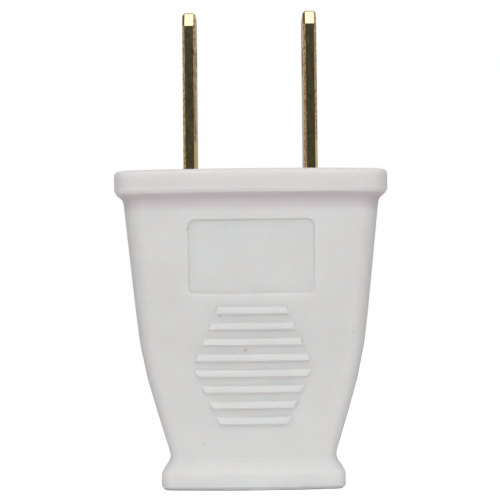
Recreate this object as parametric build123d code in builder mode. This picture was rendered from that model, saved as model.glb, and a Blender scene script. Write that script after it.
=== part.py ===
from build123d import *
from math import ceil
import os

# Two-blade polarized plug whose wiring core sits in a soft one-piece shell.
# Millimetres, +Z up along the blades. The origin is the middle of the cord end's flat
# face, X runs from the narrow blade to the wide one, and the bare panel faces -Y.

os.makedirs("parts", exist_ok=True)

# Blades
blade_pitch = 12.7
blade_thickness = 1.4
hot_width = 6.35
neutral_width = 7.94
blade_reach = 17.0
tip_height = 1.5
tip_run = 1.1
edge_chamfer = 0.25
blade_hole_diameter = 3.2
blade_hole_rise = 11.9
tail_width = 5.0

# Shell outside, from the cord end up
body_height = 33.0
cord_end_width = 19.1
cord_end_depth = 13.4
cord_end_thickness = 1.75
cord_end_corner = 1.5
cord_end_edge = 0.4
flare_height = 1.5
waist_width = 17.0
waist_depth = 12.0
waist_radius = 1.3
front_flare_radius = 3.0
knee_height = 13.2
knee_width = 23.1
knee_radius = 43.0
top_width = 26.8
top_depth = 17.0
body_corner = 2.8
crown_share = 0.063
flange_overhang = 0.8
flange_corner = 2.8
flange_rim = 2.3
flange_slope_height = 0.5
flange_root_radius = 1.0
flange_top_edge = 0.45
flange_low_edge = 0.25

# Shell inside
wall = 1.8
cavity_corner = 1.2
floor_height = 5.0
cord_hole_width = 8.8
cord_hole_depth = 5.0
cord_hole_edge = 0.5

# Grip ribs and bare panel
rib_count = 8
rib_pitch = 1.63
rib_height = 0.84
rib_rise = 0.32
rib_edge = 0.2
rib_field_width = 12.5
rib_field_end_width = 7.1
rib_field_drop = 20.2
panel_width = 13.2
panel_height = 7.8
panel_corner = 0.9
panel_depth = 0.25
panel_bevel = 0.2
panel_drop = 9.0

# Wiring core
plate_thickness = 2.0
plate_width = 24.6
plate_depth = 14.8
plate_corner = 1.6
retainer_height = 5.6
wire_space = 2.6
chamber_width = 5.8
wire_groove_width = 4.0
wire_groove_height = 10.3
wire_groove_depth = 1.9
shoulder_drop = 5.5
shoulder_web = 1.5
wire_hole_diameter = 2.4
peg_diameter = 2.4
peg_length = 2.0
bead_width = 8.0
bead_height = 1.0
bead_rise = 0.4
bead_drop = 4.0

# Spring clips and rivets
strip_thickness = 0.5
strip_gap = 1.2
leg_rise = 3.15
u_bend_radius = 0.7
lip_width = 3.0
lip_rise = 2.6
lip_bend_radius = 0.45
hook_length = 1.8
trim_margin = 1.0
rivet_diameter = 1.8
rivet_head_diameter = 3.0
rivet_head_height = 0.6
rivet_rise = 2.2

# Smoothness of the shell's curved stretches
station_rise = 3.8
hidden_station_rise = 5.95
flare_station_rise = 0.6
root_steps = 3
top_edge_steps = 3

# Fits
core_clearance = 0.2
plate_clearance = 0.15
blade_clearance = 0.08
tail_clearance = 0.3
strip_headroom = 0.3
peg_clearance = 0.1
bead_clearance = 0.15
rivet_clearance = 0.05
hook_clearance = 0.05
window_clearance = 0.35

# Heights and places that follow from the sizes above
waist_height = cord_end_thickness + flare_height
ledge_height = body_height - plate_thickness
rim_low = body_height - flange_rim
slope_low = rim_low - flange_slope_height
root_low = slope_low - flange_root_radius
retainer_low = floor_height + wire_space
core_low = retainer_low + retainer_height
shoulder_height = body_height - shoulder_drop
chamber_top = shoulder_height - shoulder_web
tail_low = core_low + tail_clearance
tip_top = body_height + blade_reach
tail_inner = blade_pitch / 2 - blade_thickness / 2
tail_outer = blade_pitch / 2 + blade_thickness / 2
wire_place = tail_inner - wire_groove_depth / 2
strip_top = chamber_top - strip_headroom - strip_thickness / 2
lip_height = tail_low + lip_rise
leg_low = lip_height + leg_rise
rivet_height = leg_low + rivet_rise
bead_middle = ledge_height - bead_drop
rib_field_middle = body_height - rib_field_drop
panel_middle = body_height - panel_drop
core_inset = wall + core_clearance
core_corner = cavity_corner - core_clearance
field_height = (rib_count - 1) * rib_pitch + rib_height

# Outlines that give the shell's half width and half depth at each height
with BuildLine(Plane.XZ) as side_outline:
    FilletPolyline(
        (cord_end_width / 2, cord_end_thickness),
        (waist_width / 2, waist_height),
        (knee_width / 2, knee_height),
        (top_width / 2, ledge_height),
        radius=[waist_radius, knee_radius],
    )
with BuildLine(Plane.XZ) as front_outline:
    FilletPolyline(
        (cord_end_depth / 2, cord_end_thickness),
        (waist_depth / 2, waist_height),
        (top_depth / 2, ledge_height),
        radius=[front_flare_radius],
    )
waist_bend = side_outline.edges().filter_by(GeomType.CIRCLE).sort_by(Axis.Z)[0]
front_bend = front_outline.edges().filter_by(GeomType.CIRCLE)[0]
flare_top = max(bend.bounding_box().max.Z for bend in (waist_bend, front_bend))


def reach(outline, height):
    """Distance of an outline from the middle at a height."""
    return outline.line.intersect(Plane.XY.offset(height))[0].center().X


def crowned_plan(width, depth, corner):
    """Rounded rectangle whose two long sides bow outwards."""
    side = depth / 2 - crown_share * width
    with BuildSketch() as plan:
        with BuildLine():
            front = ThreePointArc((-width / 2, -side), (0, -depth / 2), (width / 2, -side))
            back = ThreePointArc((width / 2, side), (0, depth / 2), (-width / 2, side))
            Line(front @ 1, back @ 0)
            Line(back @ 1, front @ 0)
        make_face()
        fillet(plan.vertices(), corner)
    return plan.sketch


def stations(low, high, rise):
    """Even heights from low to high, no further apart than rise."""
    steps = ceil((high - low) / rise)
    return [low + (high - low) * step / steps for step in range(steps + 1)]


def tapered_form(heights, inset, low_corner, high_corner):
    """The shell's tapered form through some heights, its walls moved in by inset."""
    with BuildPart() as form:
        for height in heights:
            share = (height - heights[0]) / (heights[-1] - heights[0])
            corner = low_corner + (high_corner - low_corner) * share
            half_width = reach(side_outline, height) - inset
            half_depth = reach(front_outline, height) - inset
            with BuildSketch(Plane.XY.offset(height)):
                add(crowned_plan(2 * half_width, 2 * half_depth, corner))
        loft(ruled=True)
    return form.part


def face_plane(height):
    """Plane on the middle of the front face at a height, which leans as the face does."""
    face_rise = ledge_height - waist_height
    face_run = (top_depth - waist_depth) / 2
    middle = (0, -reach(front_outline, height), height)
    return Plane(origin=middle, x_dir=(1, 0, 0), z_dir=(0, -face_rise, -face_run))


def bow_radius(height):
    """Radius of the bow of the broad faces at a height."""
    return reach(side_outline, height) * (1 / (4 * crown_share) + crown_share)


flange_width = 2 * (reach(side_outline, rim_low) + flange_overhang)
flange_depth = 2 * (reach(front_outline, rim_low) + flange_overhang)

# Underside of the flange: how far it stands out from the body at each height
with BuildLine(Plane.XZ) as underside:
    FilletPolyline(
        (0, root_low),
        (0, slope_low),
        (flange_overhang, rim_low),
        radius=[flange_root_radius],
    )
root_bend = underside.edges().filter_by(GeomType.CIRCLE)[0]
root_heights = sorted((root_bend @ (step / root_steps)).Z for step in range(root_steps + 1))

# Rounded top edge of the flange
with BuildLine(Plane.XZ):
    top_edge = CenterArc(
        (flange_width / 2 - flange_top_edge, body_height - flange_top_edge),
        radius=flange_top_edge,
        start_angle=0,
        arc_size=90,
    )

bead_reach = reach(front_outline, bead_middle) - core_inset + bead_rise
flare_heights = stations(cord_end_thickness, flare_top, flare_station_rise)
body_heights = stations(flare_top, root_heights[0], station_rise)
cavity_heights = stations(floor_height, ledge_height, hidden_station_rise)
core_heights = stations(core_low, ledge_height, hidden_station_rise)
retainer_heights = stations(retainer_low, core_low, hidden_station_rise)
flare_form = tapered_form(flare_heights, 0, cord_end_corner, cord_end_corner)
body_form = tapered_form(body_heights, 0, cord_end_corner, body_corner)
cavity_form = tapered_form(cavity_heights, wall, cavity_corner, cavity_corner)
core_form = tapered_form(core_heights, core_inset, core_corner, core_corner)
retainer_form = tapered_form(retainer_heights, core_inset, core_corner, core_corner)

# Grip ribs: bars cut to one hexagon and to the bow of the face, on both broad faces
with BuildPart() as ribs:
    rib_plane = face_plane(rib_field_middle)
    with BuildSketch(rib_plane):
        Polygon(
            (-rib_field_end_width / 2, field_height / 2),
            (-rib_field_width / 2, 0),
            (-rib_field_end_width / 2, -field_height / 2),
            (rib_field_end_width / 2, -field_height / 2),
            (rib_field_width / 2, 0),
            (rib_field_end_width / 2, field_height / 2),
        )
        with GridLocations(0, rib_pitch, 1, rib_count - 1):
            Rectangle(rib_field_width, rib_pitch - rib_height, mode=Mode.SUBTRACT)
    extrude(amount=wall / 2, both=True)
    rib_bow = bow_radius(rib_field_middle)
    with Locations(rib_plane.offset(rib_rise - rib_bow)):
        Cylinder(rib_bow, 2 * field_height, rotation=(90, 0, 0), mode=Mode.INTERSECT)
    for outer_face in ribs.faces().filter_by(GeomType.CYLINDER):
        chamfer(outer_face.edges().filter_by(GeomType.CIRCLE), rib_edge)
    for outer_face in ribs.faces().filter_by(GeomType.CYLINDER):
        chamfer(outer_face.edges().filter_by(GeomType.CIRCLE, reverse=True), rib_edge)
    mirror(about=Plane.XZ)

# Cutter of the bare recessed panel, which follows the bow of the front face
with BuildPart() as panel_cutter:
    panel_plane = face_plane(panel_middle)
    with BuildSketch(panel_plane):
        RectangleRounded(panel_width, panel_height, panel_corner)
    extrude(amount=wall, both=True)
    panel_bow = bow_radius(panel_middle)
    with Locations(panel_plane.offset(-panel_depth - panel_bow)):
        Cylinder(panel_bow, 2 * panel_height, rotation=(90, 0, 0), mode=Mode.SUBTRACT)
    panel_floor = panel_cutter.faces().filter_by(GeomType.CYLINDER).sort_by(SortBy.AREA)[-1]
    chamfer(panel_floor.edges(), panel_bevel)

# Soft outer shell
with BuildPart() as outer_shell:
    add(flare_form)
    add(body_form)
    with BuildSketch():
        add(crowned_plan(cord_end_width, cord_end_depth, cord_end_corner))
    extrude(amount=cord_end_thickness)
    chamfer(outer_shell.edges().group_by(Axis.Z)[0], cord_end_edge)
    for height in [*root_heights, rim_low]:
        outset = reach(underside, height)
        half_width = reach(side_outline, height) + outset
        half_depth = reach(front_outline, height) + outset
        corner = body_corner + (flange_corner - body_corner) * outset / flange_overhang
        with BuildSketch(Plane.XY.offset(height)):
            add(crowned_plan(2 * half_width, 2 * half_depth, corner))
    loft(ruled=True)
    with BuildSketch(Plane.XY.offset(rim_low)):
        add(crowned_plan(flange_width, flange_depth, flange_corner))
    extrude(amount=flange_rim - flange_top_edge)
    for step in range(top_edge_steps + 1):
        point = top_edge @ (step / top_edge_steps)
        inset = flange_width / 2 - point.X
        with BuildSketch(Plane.XY.offset(point.Z)):
            add(crowned_plan(2 * point.X, flange_depth - 2 * inset, flange_corner - inset))
    loft(ruled=True)
    rim_edges = outer_shell.edges().filter_by_position(Axis.Z, rim_low, rim_low)
    chamfer(rim_edges, flange_low_edge)
    add(ribs.part)
    add(panel_cutter.part, mode=Mode.SUBTRACT)

    # Cavity, core recess and cord hole
    add(cavity_form, mode=Mode.SUBTRACT)
    with BuildSketch(Plane.XY.offset(ledge_height)):
        recess_width = plate_width + 2 * plate_clearance
        recess_depth = plate_depth + 2 * plate_clearance
        add(crowned_plan(recess_width, recess_depth, plate_corner + plate_clearance))
    extrude(amount=plate_thickness, mode=Mode.SUBTRACT)
    with BuildSketch():
        SlotOverall(cord_hole_width, cord_hole_depth)
    extrude(amount=floor_height, mode=Mode.SUBTRACT)
    hole_mouth = outer_shell.faces().sort_by(Axis.Z)[0].inner_wires().edges()
    chamfer(hole_mouth, cord_hole_edge)

    # Grooves that the core's snap beads sit in
    with BuildSketch(Plane.XY.offset(bead_middle)):
        groove_width = bead_width + 2 * bead_clearance
        Rectangle(groove_width, 2 * (bead_reach + bead_clearance))
    extrude(amount=bead_height / 2 + bead_clearance, both=True, mode=Mode.SUBTRACT)
outer_shell.part.label = "outer_shell"
export_step(outer_shell.part, "parts/outer_shell.step")

# Moulded core that holds the blades and the wire chambers
with BuildPart() as core_body:
    add(core_form)
    with BuildSketch(Plane.XY.offset(bead_middle)):
        Rectangle(bead_width, 2 * bead_reach)
    extrude(amount=bead_height / 2, both=True)
    with BuildSketch(Plane.XY.offset(ledge_height)):
        add(crowned_plan(plate_width, plate_depth, plate_corner))
    extrude(amount=plate_thickness)
    with BuildSketch(Plane.XY.offset(core_low)):
        with Locations((tail_inner, 0)):
            Rectangle(top_width, chamber_width, align=(Align.MIN, Align.CENTER))
        mirror(about=Plane.YZ)
    extrude(amount=chamber_top - core_low, mode=Mode.SUBTRACT)
    with BuildSketch(Plane.XY.offset(core_low)):
        with Locations((wire_place, 0), (-wire_place, 0)):
            Rectangle(wire_groove_depth, wire_groove_width)
    extrude(amount=wire_groove_height, mode=Mode.SUBTRACT)
    for side, blade_width in ((-1, hot_width), (1, neutral_width)):
        with BuildSketch(Plane.XY.offset(shoulder_height)):
            with Locations((side * blade_pitch / 2, 0)):
                Rectangle(
                    blade_thickness + 2 * blade_clearance,
                    blade_width + 2 * blade_clearance,
                )
        extrude(amount=shoulder_drop, mode=Mode.SUBTRACT)
        with BuildSketch(Plane.XY.offset(chamber_top)):
            with Locations((side * blade_pitch / 2, 0)):
                Rectangle(
                    blade_thickness + 2 * blade_clearance,
                    tail_width + 2 * blade_clearance,
                )
        extrude(amount=shoulder_height - chamber_top, mode=Mode.SUBTRACT)
    with BuildSketch(Plane.XY.offset(core_low)):
        Circle(peg_diameter / 2 + peg_clearance)
    extrude(amount=peg_length + peg_clearance, mode=Mode.SUBTRACT)
core_body.part.label = "core_body"
export_step(core_body.part, "parts/core_body.step")

# Retainer that closes the chambers and leads the two wires in
with BuildPart() as core_retainer:
    add(retainer_form)
    with BuildSketch(Plane.XY.offset(core_low)):
        Circle(peg_diameter / 2)
    extrude(amount=peg_length)
    with BuildSketch(Plane.XY.offset(retainer_low)):
        with Locations((-wire_place, 0), (wire_place, 0)):
            Circle(wire_hole_diameter / 2)
    extrude(amount=retainer_height, mode=Mode.SUBTRACT)
core_retainer.part.label = "core_retainer"
export_step(core_retainer.part, "parts/core_retainer.step")

# Blades, spring clips and rivets: the narrow side first, then the wide side
for name, side, blade_width in (("hot", -1, hot_width), ("neutral", 1, neutral_width)):
    with BuildPart() as blade:
        with BuildSketch(Plane.YZ.offset(side * blade_pitch / 2)):
            with BuildLine():
                Polyline(
                    (0, tail_low),
                    (tail_width / 2, tail_low),
                    (tail_width / 2, shoulder_height),
                    (blade_width / 2, shoulder_height),
                    (blade_width / 2, tip_top - tip_height),
                    (blade_width / 2 - tip_run, tip_top),
                    (0, tip_top),
                )
                mirror(about=Plane.YZ)
            make_face()
            with Locations((0, body_height + blade_hole_rise)):
                Circle(blade_hole_diameter / 2, mode=Mode.SUBTRACT)
            with Locations((0, rivet_height)):
                Circle(rivet_diameter / 2 + rivet_clearance, mode=Mode.SUBTRACT)
            with Locations((0, lip_height)):
                Rectangle(
                    lip_width + 2 * window_clearance,
                    strip_thickness + 2 * window_clearance,
                    mode=Mode.SUBTRACT,
                )
        extrude(amount=blade_thickness / 2, both=True)
        exposed_edges = blade.edges().filter_by_position(Axis.Z, body_height, tip_top)
        broad_face_edges = exposed_edges.filter_by(GeomType.LINE).filter_by(Axis.X, reverse=True)
        chamfer(broad_face_edges, edge_chamfer)
    blade.part.label = f"blade_{name}"
    export_step(blade.part, f"parts/blade_{name}.step")

    with BuildPart() as spring_clip:
        with BuildSketch(Plane.XZ):
            with BuildLine():
                leg_place = side * (tail_outer + strip_thickness / 2)
                lever_place = leg_place + side * (strip_thickness + strip_gap)
                hook_place = side * (tail_inner - hook_clearance - strip_thickness / 2)
                FilletPolyline(
                    (leg_place, leg_low),
                    (leg_place, strip_top),
                    (lever_place, strip_top),
                    (lever_place, lip_height),
                    (hook_place, lip_height),
                    (hook_place, lip_height - hook_length),
                    radius=[u_bend_radius, u_bend_radius, lip_bend_radius, lip_bend_radius],
                )
            trace(line_width=strip_thickness)
        extrude(amount=tail_width / 2, both=True)
        with BuildSketch(Plane.XY.offset(lip_height + trim_margin)):
            with Locations((side * blade_pitch / 2, 0)):
                with GridLocations(0, lip_width + tail_width, 1, 2):
                    Rectangle(blade_thickness + 2 * trim_margin, tail_width)
        extrude(amount=-hook_length - 2 * trim_margin, mode=Mode.SUBTRACT)
        with BuildSketch(Plane.YZ.offset(side * tail_outer)):
            with Locations((0, rivet_height)):
                Circle(rivet_diameter / 2 + rivet_clearance)
        extrude(amount=side * strip_thickness, mode=Mode.SUBTRACT)
    spring_clip.part.label = f"spring_clip_{name}"
    export_step(spring_clip.part, f"parts/spring_clip_{name}.step")

    with BuildPart() as rivet:
        with BuildSketch(Plane.YZ.offset(side * (tail_inner - rivet_head_height))):
            with Locations((0, rivet_height)):
                Circle(rivet_head_diameter / 2)
        extrude(amount=side * rivet_head_height)
        with BuildSketch(Plane.YZ.offset(side * (tail_outer + strip_thickness))):
            with Locations((0, rivet_height)):
                Circle(rivet_head_diameter / 2)
        extrude(amount=side * rivet_head_height)
        with BuildSketch(Plane.YZ.offset(side * tail_inner)):
            with Locations((0, rivet_height)):
                Circle(rivet_diameter / 2)
        extrude(amount=side * (blade_thickness + strip_thickness))
    rivet.part.label = f"rivet_{name}"
    export_step(rivet.part, f"parts/rivet_{name}.step")
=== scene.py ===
import math

import bpy

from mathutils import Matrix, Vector

MM = 0.001
WHITE = (1.0, 1.0, 1.0, 1.0)
FULL_RANGE = (0.0, 1.0)

# Camera: where the photograph was taken from, in millimetres and degrees
CAMERA_PLACE = (-0.04, -200.0, 18.3)
CAMERA_RISE = 1.9
CAMERA_YAW = 0.05
CAMERA_ROLL = 0.6
CAMERA_LENS = 135.3
CAMERA_NEAR = 10.0
CAMERA_FAR = 10000.0
SENSOR_WIDTH = 36.0

# Floor: its reach in millimetres, its grey and the glow that lifts it to white for the camera
STAGE_REACH = 1200.0
STAGE_GREY = (0.82, 0.82, 0.82, 1.0)
STAGE_ROUGHNESS = 0.9
STAGE_GLOW = 0.6

# Key lamp: places and size in millimetres, power in watts
KEY_PLACE = (0.0, -340.0, 300.0)
KEY_TARGET = (0.0, 0.0, 20.0)
KEY_SIZE = 240.0
KEY_POWER = 0.67

# Surroundings as they light the plug
FRONT_COLOUR = (0.94, 0.985, 1.0, 1.0)
SIDE_COLOUR = (0.98, 0.92, 0.94, 1.0)
FRONT_TO_SIDE = (-0.9, -0.3)
FRONT_LIGHT = 3.3
FRONT_SHARPNESS = 6.0
BACK_LIGHT = 1.15
TOP_LIGHT = 0.68
SOFT_SHARPNESS = 2.0

# Surroundings as the plug mirrors them: a dark patch round the camera and a bright zenith
PATCH_BAND = (-0.93, -0.6)
PATCH_LEVELS = (0.03, 0.45)
ZENITH_BAND = (0.55, 0.9)
ZENITH_LEVELS = (0.0, 0.95)

# Noises: cycles per metre, detail and roughness
VINYL_MOTTLE = (300.0, 4.0, 0.6)
VINYL_DUST = (1500.0, 2.0, 0.5)
VINYL_SHEEN = (420.0, 4.0, 0.5)
VINYL_GRAIN = (2600.0, 3.0, 0.6)
VINYL_SWELL = (330.0, 2.0, 0.5)
CORE_MOTTLE = (300.0, 3.0, 0.5)
CORE_GRAIN = (3000.0, 3.0, 0.5)
METAL_STAIN = (700.0, 4.0, 0.5)
METAL_GRAIN = (2500.0, 4.0, 0.65)
EDGE_STAIN = (2300.0, 3.0, 0.6)
SHEAR_GRIT = (5200.0, 3.0, 0.6)

# Bumps: strength, and depth in millimetres
VINYL_GRAIN_BUMP = (0.3, 0.02)
VINYL_SWELL_BUMP = (0.4, 0.1)
CORE_GRAIN_BUMP = (0.3, 0.02)
BLADE_GRAIN_BUMP = (0.4, 0.02)
METAL_GRAIN_BUMP = (0.5, 0.02)

# Bands of noise that are stretched to the full range
VINYL_MOTTLE_BAND = (0.34, 0.66)
VINYL_DUST_BAND = (0.76, 0.80)
CORE_MOTTLE_BAND = (0.35, 0.65)
METAL_STAIN_BAND = (0.4, 0.7)
EDGE_STAIN_BAND = (0.4, 0.66)
SHEAR_GRIT_BAND = (0.36, 0.62)
ROUGHNESS_BAND = (0.3, 0.7)

# Vinyl: colours, heights in millimetres and how far light goes in
VINYL_PALE = (0.664, 0.656, 0.646, 1.0)
VINYL_DEEP = (0.640, 0.630, 0.620, 1.0)
# Painted light: a lighter colour that brightens the vinyl towards its foot
VINYL_FOOT_PAINTED_LIGHT = (0.740, 0.735, 0.715, 1.0)
# Painted shade: a darker colour for the flange, from its lower edge upward
VINYL_HEAD_PAINTED_SHADE = (0.628, 0.618, 0.608, 1.0)
# Painted shade: a darker, pinker colour for the crease under the flange, where the overhang shades
# the body
VINYL_CREASE_PAINTED_SHADE = (0.600, 0.550, 0.560, 1.0)
DUST_COLOUR = (0.40, 0.36, 0.32, 1.0)
DUST_STRENGTH = 0.35
# Heights in millimetres and strength of the painted light towards the foot
PAINTED_LIGHT_FOOT_BAND = (16.0, 4.0)
PAINTED_LIGHT_FOOT_STRENGTH = 0.45
# Heights in millimetres over which the painted shade on the flange sets in
PAINTED_HEAD_SHADE_BAND = (30.6, 31.2)
# Heights in millimetres of the painted shade band under the flange
PAINTED_SHADE_LOW_BAND = (28.7, 29.3)
PAINTED_SHADE_TOP_BAND = (30.8, 30.4)
VINYL_ROUGHNESS = (0.46, 0.58)
VINYL_SPECULAR = 0.35
SCATTER_RADIUS = (1.0, 0.8, 0.7)
SCATTER_DEPTH = 2.8

# Marks on the shell's front face: place across, height, reach in millimetres, colour, strength
MARKS = (
    (-3.3, 17.9, 0.10, (0.16, 0.14, 0.12, 1.0), 0.9),
    (-6.55, 26.9, 0.09, (0.20, 0.17, 0.14, 1.0), 0.85),
    (-0.7, 14.4, 0.34, (0.58, 0.40, 0.27, 1.0), 0.45),
    (1.2, 12.7, 0.10, (0.34, 0.30, 0.26, 1.0), 0.5),
    (-5.0, 4.8, 0.09, (0.32, 0.28, 0.25, 1.0), 0.5),
    (-3.4, 4.5, 0.08, (0.34, 0.30, 0.27, 1.0), 0.45),
    (10.4, 16.2, 0.12, (0.36, 0.32, 0.29, 1.0), 0.45),
    (-10.3, 19.5, 0.12, (0.38, 0.34, 0.31, 1.0), 0.45),
)

# The share of a mark's reach at full strength, and where across the depth the front face begins
MARK_CORE = 0.4
FRONT_BAND = (-3.0, -4.0)

# Wiring core
CORE_DEEP = (0.60, 0.585, 0.55, 1.0)
CORE_PALE = (0.64, 0.625, 0.59, 1.0)
CORE_ROUGHNESS = 0.38

# Blades: how far a surface turns to the side, from none on the edges to 1 on the faces
NOT_FACE_BAND = (0.95, 0.85)
BEVEL_BAND = (0.25, 0.5)
EDGE_BAND = (0.25, 0.1)
# Which front-facing surfaces near the tip carry the painted highlight
TIP_HIGHLIGHT_BAND = (0.5, 0.25)
RIGHT_BAND = (0.2, 0.4)
LEFT_BAND = (-0.2, -0.4)

# Blades: colours, and heights in millimetres
BRASS_BRIGHT = (0.86, 0.66, 0.30, 1.0)
BRASS_STAINED = (0.76, 0.57, 0.25, 1.0)
EDGE_DARK = (0.44, 0.37, 0.20, 1.0)
EDGE_PALE = (0.70, 0.58, 0.30, 1.0)
SHEAR_DARK = (0.30, 0.21, 0.09, 1.0)
SHEAR_BRIGHT = (0.95, 0.76, 0.42, 1.0)
BURNISHED = (0.98, 0.80, 0.40, 1.0)
# Painted highlight: a near-white pale yellow for the tip's front facet
TIP_PAINTED_HIGHLIGHT = (1.0, 0.90, 0.56, 1.0)
RIM_BROWN = (0.22, 0.13, 0.05, 1.0)
BURNISHED_BAND = (36.4, 36.2)
TIP_BAND = (48.4, 48.6)
RIM_BAND = (49.86, 49.95)
BLADE_ROUGHNESS = (0.16, 0.42)
EDGE_STRETCH = (1.0, 1.0, 0.6)
GRIT_STRETCH = (1.0, 1.0, 0.55)

# Rivets and spring clips
RIVET_BRIGHT = (0.74, 0.52, 0.24, 1.0)
RIVET_DARK = (0.60, 0.40, 0.16, 1.0)
RIVET_ROUGHNESS = 0.3
STEEL_BRIGHT = (0.56, 0.56, 0.55, 1.0)
STEEL_DARK = (0.44, 0.44, 0.44, 1.0)
STEEL_ROUGHNESS = 0.28
ROUGHNESS_SPREAD = 0.12


def mesh_object(name, vertices, faces):
    """A mesh object from vertices in millimetres."""
    mesh = bpy.data.meshes.new(name)
    mesh.from_pydata([tuple(MM * c for c in v) for v in vertices], [], faces)
    made = bpy.data.objects.new(name, mesh)
    bpy.context.scene.collection.objects.link(made)
    return made


def new_material(name):
    """A node material, its tree and its Principled shader."""
    material = bpy.data.materials.new(name)
    material.use_nodes = True
    tree = material.node_tree
    return material, tree, tree.nodes["Principled BSDF"]


def coordinates(tree, kind):
    """A texture coordinate as a vector and its three parts."""
    source = tree.nodes.new("ShaderNodeTexCoord")
    parts = tree.nodes.new("ShaderNodeSeparateXYZ")
    tree.links.new(source.outputs[kind], parts.inputs["Vector"])
    return source.outputs[kind], parts.outputs


def object_noise(tree, grain, stretch=(1.0, 1.0, 1.0)):
    """A noise texture in object space, from its scale, detail and roughness."""
    place, _ = coordinates(tree, "Object")
    mapping = tree.nodes.new("ShaderNodeMapping")
    mapping.inputs["Scale"].default_value = stretch
    noise = tree.nodes.new("ShaderNodeTexNoise")
    for name, value in zip(("Scale", "Detail", "Roughness"), grain):
        noise.inputs[name].default_value = value
    tree.links.new(place, mapping.inputs["Vector"])
    tree.links.new(mapping.outputs["Vector"], noise.inputs["Vector"])
    return noise.outputs["Fac"]


def map_range(tree, source, band, levels=FULL_RANGE):
    """A clamped remap of a value from a band to two levels."""
    node = tree.nodes.new("ShaderNodeMapRange")
    for name, value in zip(("From Min", "From Max", "To Min", "To Max"), band + levels):
        node.inputs[name].default_value = value
    tree.links.new(source, node.inputs["Value"])
    return node.outputs["Result"]


def place_range(tree, part, band, levels=FULL_RANGE):
    """A clamped remap of one part of a place, from a band in millimetres."""
    return map_range(tree, part, tuple(MM * edge for edge in band), levels)


def set_or_link(tree, socket, value):
    """Sets a socket to a number or a colour, or links another socket to it."""
    if isinstance(value, (float, tuple)):
        socket.default_value = value
    else:
        tree.links.new(value, socket)


def maths(tree, operation, *values):
    """A maths node; each value may be a number or a socket."""
    node = tree.nodes.new("ShaderNodeMath")
    node.operation = operation
    for socket, value in zip(node.inputs, values):
        set_or_link(tree, socket, value)
    return node.outputs[0]


def mix(tree, kind, factor, first, second):
    """Two values of a kind mixed by a factor; each may be a constant or a socket."""
    node = tree.nodes.new("ShaderNodeMix")
    node.data_type = kind
    for name, value in (("Factor", factor), ("A", first), ("B", second)):
        set_or_link(tree, node.inputs[name], value)
    return node.outputs["Result"]


def mix_colour(tree, factor, first, second):
    """Two colours mixed by a factor."""
    return mix(tree, "RGBA", factor, first, second)


def bump(tree, height, relief, normal=None):
    """A bump with a strength and a depth in millimetres."""
    strength, depth = relief
    node = tree.nodes.new("ShaderNodeBump")
    node.inputs["Strength"].default_value = strength
    node.inputs["Distance"].default_value = depth * MM
    tree.links.new(height, node.inputs["Height"])
    if normal is not None:
        tree.links.new(normal, node.inputs["Normal"])
    return node.outputs["Normal"]


def mark(tree, colour, place, front, across, height, reach, tint, strength):
    """Lays one small soft-edged mark on the front face over a colour."""
    flat = tree.nodes.new("ShaderNodeVectorMath")
    flat.operation = "MULTIPLY"
    flat.inputs[1].default_value = (1.0, 0.0, 1.0)
    tree.links.new(place, flat.inputs[0])
    distance = tree.nodes.new("ShaderNodeVectorMath")
    distance.operation = "DISTANCE"
    distance.inputs[1].default_value = (across * MM, 0.0, height * MM)
    tree.links.new(flat.outputs["Vector"], distance.inputs[0])
    band = (MARK_CORE * reach * MM, reach * MM)
    near = map_range(tree, distance.outputs["Value"], band, (strength, 0.0))
    return mix_colour(tree, maths(tree, "MULTIPLY", near, front), colour, tint)


def vinyl_material():
    """Satin white vinyl with faint mottling, painted light lifting its foot, painted shade on the
    flange and in the crease under it, a few marks and a fine moulded grain.
    """
    material, tree, shader = new_material("shell_vinyl")
    place, parts = coordinates(tree, "Object")
    tone = map_range(tree, object_noise(tree, VINYL_MOTTLE), VINYL_MOTTLE_BAND)
    colour = mix_colour(tree, tone, VINYL_DEEP, VINYL_PALE)
    dust = map_range(tree, object_noise(tree, VINYL_DUST), VINYL_DUST_BAND, (0.0, DUST_STRENGTH))
    colour = mix_colour(tree, dust, colour, DUST_COLOUR)
    # Painted light: the vinyl is lightened more and more towards the bottom
    painted_foot_light = place_range(tree, parts["Z"], PAINTED_LIGHT_FOOT_BAND, (0.0, PAINTED_LIGHT_FOOT_STRENGTH))
    colour = mix_colour(tree, painted_foot_light, colour, VINYL_FOOT_PAINTED_LIGHT)
    # Painted shade: the flange is darkened from its lower edge up
    painted_head_shade = place_range(tree, parts["Z"], PAINTED_HEAD_SHADE_BAND)
    colour = mix_colour(tree, painted_head_shade, colour, VINYL_HEAD_PAINTED_SHADE)
    # Painted shade: the band under the flange is darkened between these heights
    shade_above_low = place_range(tree, parts["Z"], PAINTED_SHADE_LOW_BAND)
    shade_below_top = place_range(tree, parts["Z"], PAINTED_SHADE_TOP_BAND)
    colour = mix_colour(tree, maths(tree, "MULTIPLY", shade_above_low, shade_below_top), colour, VINYL_CREASE_PAINTED_SHADE)
    front = place_range(tree, parts["Y"], FRONT_BAND)
    for spot in MARKS:
        colour = mark(tree, colour, place, front, *spot)
    tree.links.new(colour, shader.inputs["Base Color"])
    rough = map_range(tree, object_noise(tree, VINYL_SHEEN), ROUGHNESS_BAND, VINYL_ROUGHNESS)
    tree.links.new(rough, shader.inputs["Roughness"])
    shader.inputs["Specular IOR Level"].default_value = VINYL_SPECULAR
    shader.inputs["Subsurface Weight"].default_value = 1.0
    shader.inputs["Subsurface Radius"].default_value = SCATTER_RADIUS
    shader.inputs["Subsurface Scale"].default_value = SCATTER_DEPTH * MM
    grain = bump(tree, object_noise(tree, VINYL_GRAIN), VINYL_GRAIN_BUMP)
    swell = bump(tree, object_noise(tree, VINYL_SWELL), VINYL_SWELL_BUMP, grain)
    tree.links.new(swell, shader.inputs["Normal"])
    return material


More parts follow.
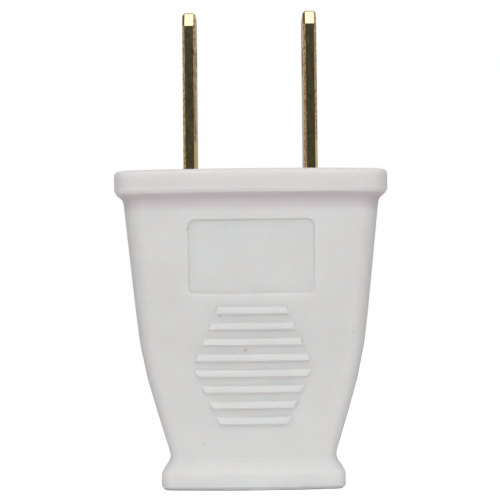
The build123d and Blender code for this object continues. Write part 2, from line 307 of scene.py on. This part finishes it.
def core_material():
    """Harder off-white thermoplastic of the wiring core."""
    material, tree, shader = new_material("core_plastic")
    tone = map_range(tree, object_noise(tree, CORE_MOTTLE), CORE_MOTTLE_BAND)
    colour = mix_colour(tree, tone, CORE_DEEP, CORE_PALE)
    tree.links.new(colour, shader.inputs["Base Color"])
    shader.inputs["Roughness"].default_value = CORE_ROUGHNESS
    grain = bump(tree, object_noise(tree, CORE_GRAIN), CORE_GRAIN_BUMP)
    tree.links.new(grain, shader.inputs["Normal"])
    return material


def blade_material():
    """Stamped brass: bright rolled faces, dull edges, coarse sheared bevels and a painted highlight
    on the tip's front facet.
    """
    material, tree, shader = new_material("blade_brass")
    shader.inputs["Metallic"].default_value = 1.0
    _, parts = coordinates(tree, "Object")
    _, normal = coordinates(tree, "Normal")
    sideways = maths(tree, "ABSOLUTE", normal["X"])
    not_face = map_range(tree, sideways, NOT_FACE_BAND)
    shear = maths(tree, "MULTIPLY", map_range(tree, sideways, BEVEL_BAND), not_face)
    right = map_range(tree, normal["X"], RIGHT_BAND)
    left = map_range(tree, normal["X"], LEFT_BAND)
    low = place_range(tree, parts["Z"], BURNISHED_BAND)
    burnished = maths(tree, "MULTIPLY", maths(tree, "MULTIPLY", right, low), shear)
    tip = place_range(tree, parts["Z"], TIP_BAND)
    # Painted highlight: the tip's front facet is coloured near-white
    tip_highlight = maths(tree, "MULTIPLY", tip, map_range(tree, sideways, TIP_HIGHLIGHT_BAND))
    rim_left = maths(tree, "MULTIPLY", maths(tree, "MULTIPLY", tip, left), not_face)
    rim = maths(tree, "MAXIMUM", place_range(tree, parts["Z"], RIM_BAND), rim_left)

    stain = map_range(tree, object_noise(tree, METAL_STAIN), METAL_STAIN_BAND)
    colour = mix_colour(tree, stain, BRASS_BRIGHT, BRASS_STAINED)
    cloud = map_range(tree, object_noise(tree, EDGE_STAIN, EDGE_STRETCH), EDGE_STAIN_BAND)
    dull = mix_colour(tree, cloud, EDGE_DARK, EDGE_PALE)
    colour = mix_colour(tree, map_range(tree, sideways, EDGE_BAND), colour, dull)
    grit = map_range(tree, object_noise(tree, SHEAR_GRIT, GRIT_STRETCH), SHEAR_GRIT_BAND)
    coarse = mix_colour(tree, grit, SHEAR_DARK, SHEAR_BRIGHT)
    colour = mix_colour(tree, shear, colour, coarse)
    colour = mix_colour(tree, burnished, colour, BURNISHED)
    colour = mix_colour(tree, tip_highlight, colour, TIP_PAINTED_HIGHLIGHT)
    colour = mix_colour(tree, rim, colour, RIM_BROWN)
    tree.links.new(colour, shader.inputs["Base Color"])

    rough = map_range(tree, shear, FULL_RANGE, BLADE_ROUGHNESS)
    tree.links.new(rough, shader.inputs["Roughness"])
    grain = bump(tree, object_noise(tree, METAL_GRAIN), BLADE_GRAIN_BUMP)
    tree.links.new(grain, shader.inputs["Normal"])
    return material


def metal_material(name, bright, dark, roughness):
    """Plain metal with faint staining and a fine grain."""
    material, tree, shader = new_material(name)
    shader.inputs["Metallic"].default_value = 1.0
    cloud = object_noise(tree, METAL_STAIN)
    colour = mix_colour(tree, map_range(tree, cloud, METAL_STAIN_BAND), bright, dark)
    tree.links.new(colour, shader.inputs["Base Color"])
    rough = map_range(tree, cloud, ROUGHNESS_BAND, (roughness, roughness + ROUGHNESS_SPREAD))
    tree.links.new(rough, shader.inputs["Roughness"])
    grain = bump(tree, object_noise(tree, METAL_GRAIN), METAL_GRAIN_BUMP)
    tree.links.new(grain, shader.inputs["Normal"])
    return material


def white_stage_material():
    """White floor that still takes the object's shadow."""
    material, tree, shader = new_material("stage_white")
    shader.inputs["Base Color"].default_value = STAGE_GREY
    shader.inputs["Roughness"].default_value = STAGE_ROUGHNESS
    shader.inputs["Specular IOR Level"].default_value = 0.0
    light_path = tree.nodes.new("ShaderNodeLightPath").outputs
    seen = maths(tree, "MAXIMUM", light_path["Is Camera Ray"], light_path["Is Transmission Ray"])
    glow = tree.nodes.new("ShaderNodeEmission")
    tree.links.new(maths(tree, "MULTIPLY", seen, STAGE_GLOW), glow.inputs["Strength"])
    total = tree.nodes.new("ShaderNodeAddShader")
    tree.links.new(shader.outputs["BSDF"], total.inputs[0])
    tree.links.new(glow.outputs["Emission"], total.inputs[1])
    tree.links.new(total.outputs["Shader"], tree.nodes["Material Output"].inputs["Surface"])
    return material


def paint(node, material):
    """Gives a solid of the frame its finished material."""
    node.data.materials.clear()
    node.data.materials.append(material)


def add_camera():
    """The camera at the photograph's viewpoint."""
    data = bpy.data.cameras.new("camera")
    data.lens = CAMERA_LENS
    data.sensor_width = SENSOR_WIDTH
    data.clip_start = CAMERA_NEAR * MM
    data.clip_end = CAMERA_FAR * MM
    camera = bpy.data.objects.new("camera", data)
    bpy.context.scene.collection.objects.link(camera)
    camera.location = Vector(CAMERA_PLACE) * MM
    rise = math.radians(90 + CAMERA_RISE)
    camera.rotation_euler = (rise, math.radians(CAMERA_ROLL), math.radians(CAMERA_YAW))
    bpy.context.scene.camera = camera


def add_key():
    """A square soft lamp high in front of the plug."""
    data = bpy.data.lights.new("key", "AREA")
    data.size = KEY_SIZE * MM
    data.energy = KEY_POWER
    lamp = bpy.data.objects.new("key", data)
    bpy.context.scene.collection.objects.link(lamp)
    lamp.location = Vector(KEY_PLACE) * MM
    aim = (Vector(KEY_TARGET) - Vector(KEY_PLACE)).to_track_quat("-Z", "Y")
    lamp.rotation_euler = aim.to_euler()


def lobe(tree, part, sign, sharpness, strength):
    """Light that falls off as a power of the cosine from one axis."""
    ahead = maths(tree, "MAXIMUM", maths(tree, "MULTIPLY", part, sign), 0.0)
    return maths(tree, "MULTIPLY", maths(tree, "POWER", ahead, sharpness), strength)


def add_world():
    """White surroundings that light the plug softly; its metal sees a dark patch round the camera."""
    world = bpy.data.worlds.new("studio")
    bpy.context.scene.world = world
    world.use_nodes = True
    tree = world.node_tree
    background = tree.nodes["Background"]
    _, parts = coordinates(tree, "Generated")
    front = lobe(tree, parts["Y"], -1.0, FRONT_SHARPNESS, FRONT_LIGHT)
    back = lobe(tree, parts["Y"], 1.0, SOFT_SHARPNESS, BACK_LIGHT)
    above = lobe(tree, parts["Z"], 1.0, SOFT_SHARPNESS, TOP_LIGHT)
    soft = maths(tree, "ADD", maths(tree, "ADD", front, back), above)
    patch = map_range(tree, parts["Y"], PATCH_BAND, PATCH_LEVELS)
    zenith = map_range(tree, parts["Z"], ZENITH_BAND, ZENITH_LEVELS)
    mirrored = maths(tree, "ADD", patch, zenith)

    light_path = tree.nodes.new("ShaderNodeLightPath").outputs
    lit = mix(tree, "FLOAT", light_path["Is Glossy Ray"], soft, mirrored)
    seen = mix(tree, "FLOAT", light_path["Is Camera Ray"], lit, 1.0)
    tree.links.new(seen, background.inputs["Strength"])
    aside = map_range(tree, parts["Y"], FRONT_TO_SIDE)
    tint = mix_colour(tree, aside, FRONT_COLOUR, SIDE_COLOUR)
    tint = mix_colour(tree, light_path["Is Camera Ray"], tint, WHITE)
    tree.links.new(tint, background.inputs["Color"])


def add_stage():
    """The floor the plug stands on."""
    reach = STAGE_REACH
    floor = mesh_object(
        "floor",
        [(-reach, -reach, 0), (reach, -reach, 0), (reach, reach, 0), (-reach, reach, 0)],
        [(0, 1, 2, 3)],
    )
    floor.data.materials.append(white_stage_material())


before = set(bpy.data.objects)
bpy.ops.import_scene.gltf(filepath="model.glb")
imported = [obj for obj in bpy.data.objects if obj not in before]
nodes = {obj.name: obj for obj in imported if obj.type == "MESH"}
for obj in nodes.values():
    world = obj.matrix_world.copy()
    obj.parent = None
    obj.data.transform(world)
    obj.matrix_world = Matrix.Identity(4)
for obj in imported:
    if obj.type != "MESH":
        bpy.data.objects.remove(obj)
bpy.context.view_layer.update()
bpy.context.scene.view_settings.view_transform = "Standard"

add_camera()
add_world()
add_key()
add_stage()

core = core_material()
brass = blade_material()
rivet = metal_material("rivet_brass", RIVET_BRIGHT, RIVET_DARK, RIVET_ROUGHNESS)
steel = metal_material("spring_steel", STEEL_BRIGHT, STEEL_DARK, STEEL_ROUGHNESS)
paint(nodes["outer_shell"], vinyl_material())
paint(nodes["core_body"], core)
paint(nodes["core_retainer"], core)
for side in ("hot", "neutral"):
    paint(nodes[f"blade_{side}"], brass)
    paint(nodes[f"spring_clip_{side}"], steel)
    paint(nodes[f"rivet_{side}"], rivet)
